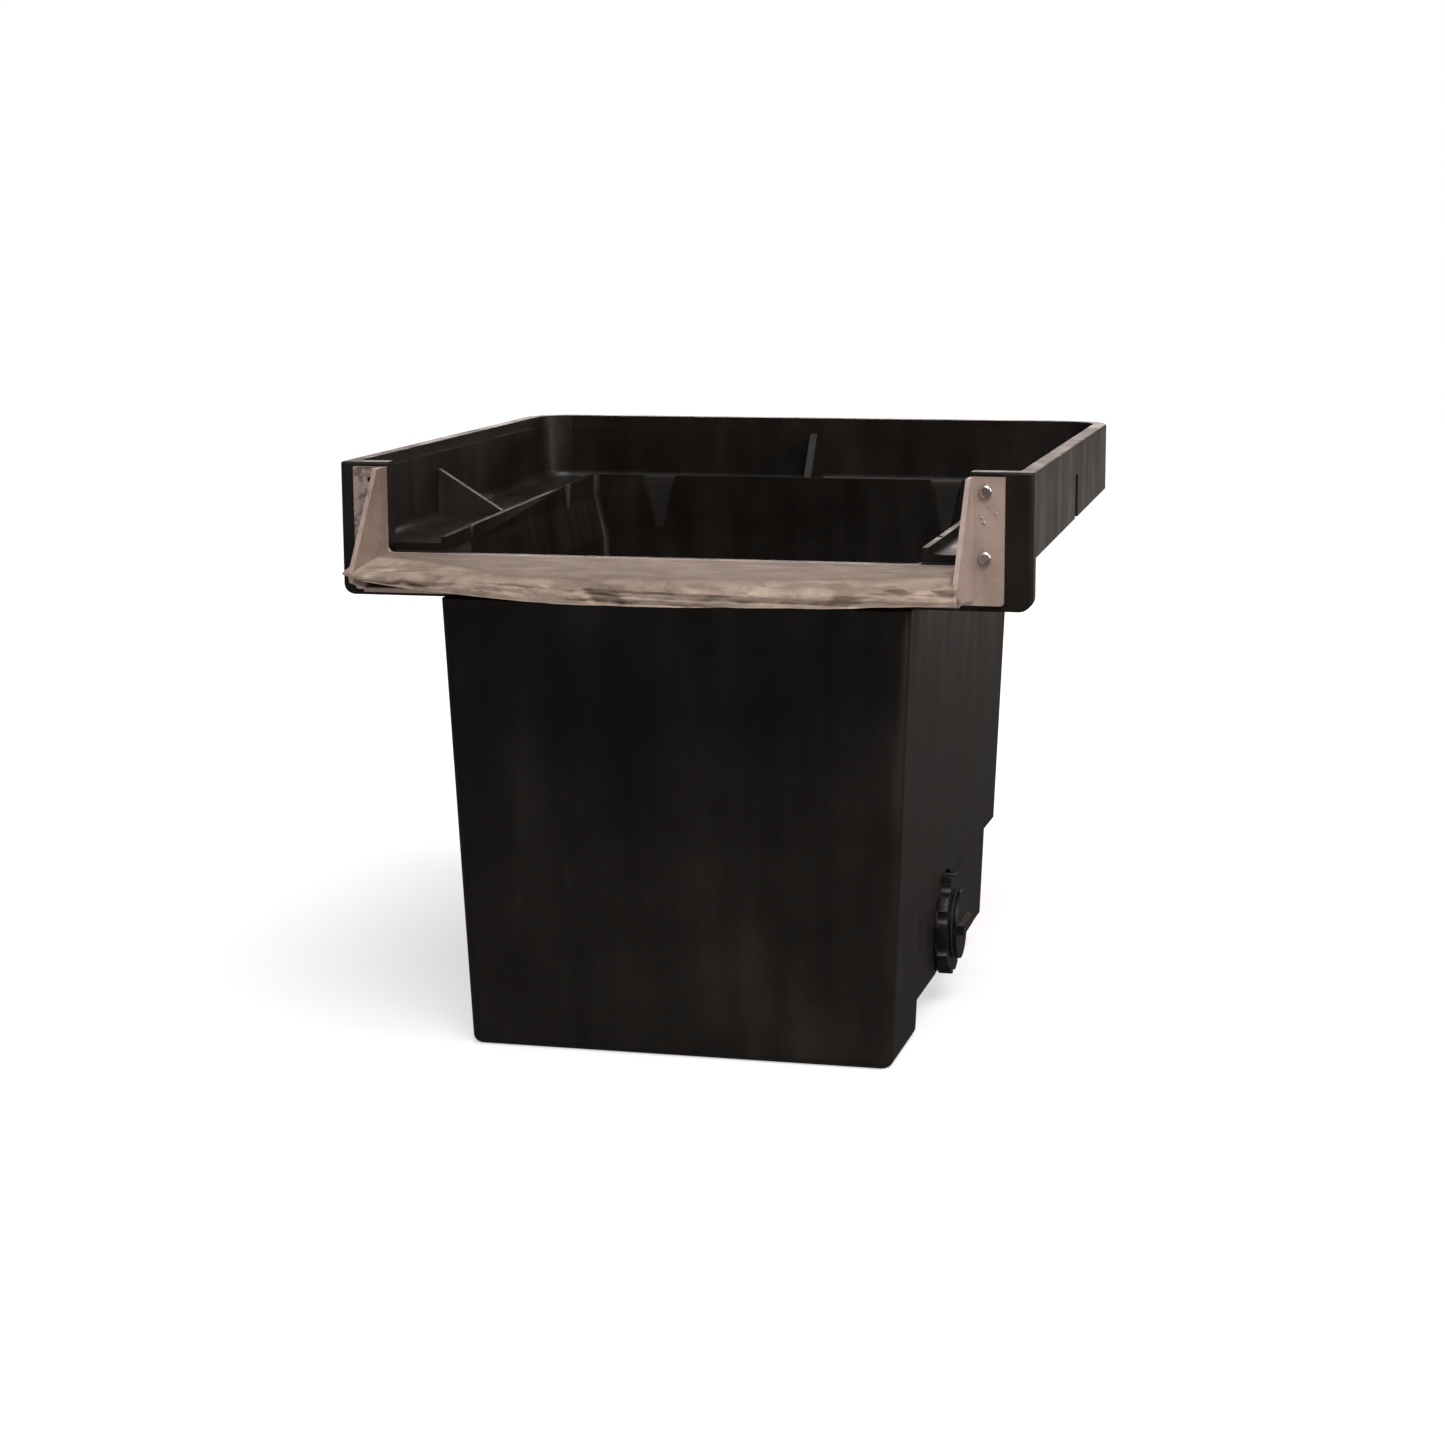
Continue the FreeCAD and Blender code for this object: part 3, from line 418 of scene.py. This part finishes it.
def add_piece(name, build, material, body):
    """Turn a bmesh into a smooth-shaded object that rides on a body."""
    bmesh.ops.recalc_face_normals(build, faces=build.faces)
    mesh = bpy.data.meshes.new(name)
    build.to_mesh(mesh)
    build.free()
    for polygon in mesh.polygons:
        polygon.use_smooth = True
    piece = bpy.data.objects.new(name, mesh)
    bpy.context.scene.collection.objects.link(piece)
    mesh.materials.append(material)
    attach(piece, body)
    return piece


def stone_lip():
    """The lip as one closed skin with broken strata along its front, in place of the plain CAD solid."""
    build = bmesh.new()
    broken_layer = build.verts.layers.float.new("broken")
    # per-vertex share of painted highlight along the lip's edges
    edge_highlight_layer = build.verts.layers.float.new("edge")
    rings = []
    for station in range(LIP_STATIONS + 1):
        x = LIP_LEFT + LIP_SPAN * station / LIP_STATIONS
        ring = []
        for y, z, rough, edge_highlight_share in lip_section(x):
            vertex = build.verts.new((x, y, z))
            vertex[broken_layer] = rough
            vertex[edge_highlight_layer] = edge_highlight_share
            ring.append(vertex)
        rings.append(ring)
    count = len(rings[0])
    for first, second in zip(rings, rings[1:]):
        for index in range(count):
            following = (index + 1) % count
            build.faces.new((first[index], first[following], second[following], second[index]))
    build.faces.new(list(reversed(rings[0])))
    build.faces.new(rings[-1])
    piece = add_piece("stone_lip", build, cast_stone(), "tub")
    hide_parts("spill_lip")


# ---------------------------------------------------------------- moulded pips
SCREW_HEAD = 0.0126
FLANGE_FACE = -0.3065
PIP_FLATNESS = 0.8
# each pip's shift along X and Z from midway between the two screws, and its radius
PIPS = (
    (-0.0034, 0.0068, 0.0014), (-0.0010, 0.0019, 0.0017),
    (0.0098, 0.0105, 0.0013), (0.0040, 0.0165, 0.0010),
)


def flange_pips(material):
    """Small moulded pips between the two screws of the right-hand post."""
    screw_low, screw_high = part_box("frame_screws")
    centre_x = screw_high.x - SCREW_HEAD / 2
    centre_z = (screw_low.z + screw_high.z) / 2
    build = bmesh.new()
    for shift_x, shift_z, radius in PIPS:
        place = Vector((centre_x + shift_x, FLANGE_FACE, centre_z + shift_z))
        turn = Matrix.Translation(place) @ Matrix.Diagonal((1.0, PIP_FLATNESS, 1.0, 1.0))
        bmesh.ops.create_icosphere(build, subdivisions=3, radius=radius, matrix=turn)
    add_piece("flange_pips", build, material, "tub")


# ---------------------------------------------------------------- stage
FLOOR_HALF = 14.0
BACKDROP_STRENGTH, AMBIENT_STRENGTH = 1.0, 0.105
CAMERA_PLACE = (0.68845, -2.91329, 0.81735)
CAMERA_LENS, CAMERA_YAW, CAMERA_PITCH, CAMERA_ROLL = 72.08, 13.78, 10.22, -0.32
SUN_STRENGTH, SUN_SPREAD, SUN_SOURCE = 3.75, 40.0, (0.5, -0.8, 1.5)
# name, power, size, place and target of each area light
AREA_LIGHTS = (
    ("side_sheen", 2.8, (1.0, 0.9), (1.5, 2.6, 0.45), (0.34, 0.0, 0.5)),
    ("back_sheen", 32.0, (2.6, 0.6), (-0.5, 3.2, 1.3), (0.0, 0.0, 0.55)),
    ("corner_glint", 26.0, (0.45, 0.9), (2.6, -0.6, 1.35), (-0.3, 0.3, 0.55)),
)


def make_floor():
    build = bmesh.new()
    bmesh.ops.create_grid(build, x_segments=2, y_segments=2, size=FLOOR_HALF)
    mesh = bpy.data.meshes.new("floor")
    build.to_mesh(mesh)
    build.free()
    floor = bpy.data.objects.new("floor", mesh)
    bpy.context.scene.collection.objects.link(floor)
    mesh.materials.append(pale_floor())
    floor.visible_glossy = False


def make_world(show, glow):
    """A pale backdrop in view, and a much dimmer one for what falls on the object."""
    world = bpy.data.worlds.new("studio")
    world.use_nodes = True
    tree = world.node_tree
    background = tree.nodes["Background"]
    background.inputs["Color"].default_value = (1.0, 1.0, 1.0, 1.0)
    seen = add_node(tree, "ShaderNodeLightPath").outputs["Is Camera Ray"]
    tree.links.new(remap(tree, seen, glow, show), background.inputs["Strength"])
    bpy.context.scene.world = world


def area_light(name, power, size, place, target, tint):
    lamp = bpy.data.lights.new(name, "AREA")
    lamp.shape = "RECTANGLE"
    lamp.size, lamp.size_y = size
    lamp.energy = power
    lamp.color = tint
    holder = bpy.data.objects.new(name, lamp)
    holder.location = place
    holder.rotation_euler = (Vector(target) - Vector(place)).to_track_quat("-Z", "Y").to_euler()
    bpy.context.scene.collection.objects.link(holder)


def sun_light(name, strength, spread, source):
    """Wide, soft sun shining from the direction of source towards the origin."""
    lamp = bpy.data.lights.new(name, "SUN")
    lamp.energy = strength
    lamp.angle = math.radians(spread)
    holder = bpy.data.objects.new(name, lamp)
    holder.rotation_euler = (-Vector(source)).to_track_quat("-Z", "Y").to_euler()
    bpy.context.scene.collection.objects.link(holder)


def make_camera(place, lens, yaw, pitch, roll):
    """Yaw turns to the left of +Y, pitch looks down and roll turns the picture, all in degrees."""
    yaw, pitch, roll = math.radians(yaw), math.radians(pitch), math.radians(roll)
    ahead = Vector((-math.sin(yaw) * math.cos(pitch), math.cos(yaw) * math.cos(pitch), -math.sin(pitch)))
    side = Vector((math.cos(yaw), math.sin(yaw), 0.0))
    above = side.cross(ahead)
    right = math.cos(roll) * side + math.sin(roll) * above
    top = -math.sin(roll) * side + math.cos(roll) * above
    lens_data = bpy.data.cameras.new("camera")
    lens_data.lens = lens
    lens_data.sensor_width = 36.0
    lens_data.clip_end = 60.0
    camera = bpy.data.objects.new("camera", lens_data)
    turn = Matrix((right, top, -ahead)).transposed().to_4x4()
    camera.matrix_world = Matrix.Translation(place) @ turn
    bpy.context.scene.collection.objects.link(camera)
    bpy.context.scene.camera = camera


dress_cad_nodes()
stone_lip()
make_floor()
make_world(BACKDROP_STRENGTH, AMBIENT_STRENGTH)
make_camera(CAMERA_PLACE, CAMERA_LENS, CAMERA_YAW, CAMERA_PITCH, CAMERA_ROLL)
sun_light("sun", SUN_STRENGTH, SUN_SPREAD, SUN_SOURCE)
for name, power, size, place, target in AREA_LIGHTS:
    area_light(name, power, size, place, target, WARM)
bpy.context.scene.view_settings.view_transform = "Standard"
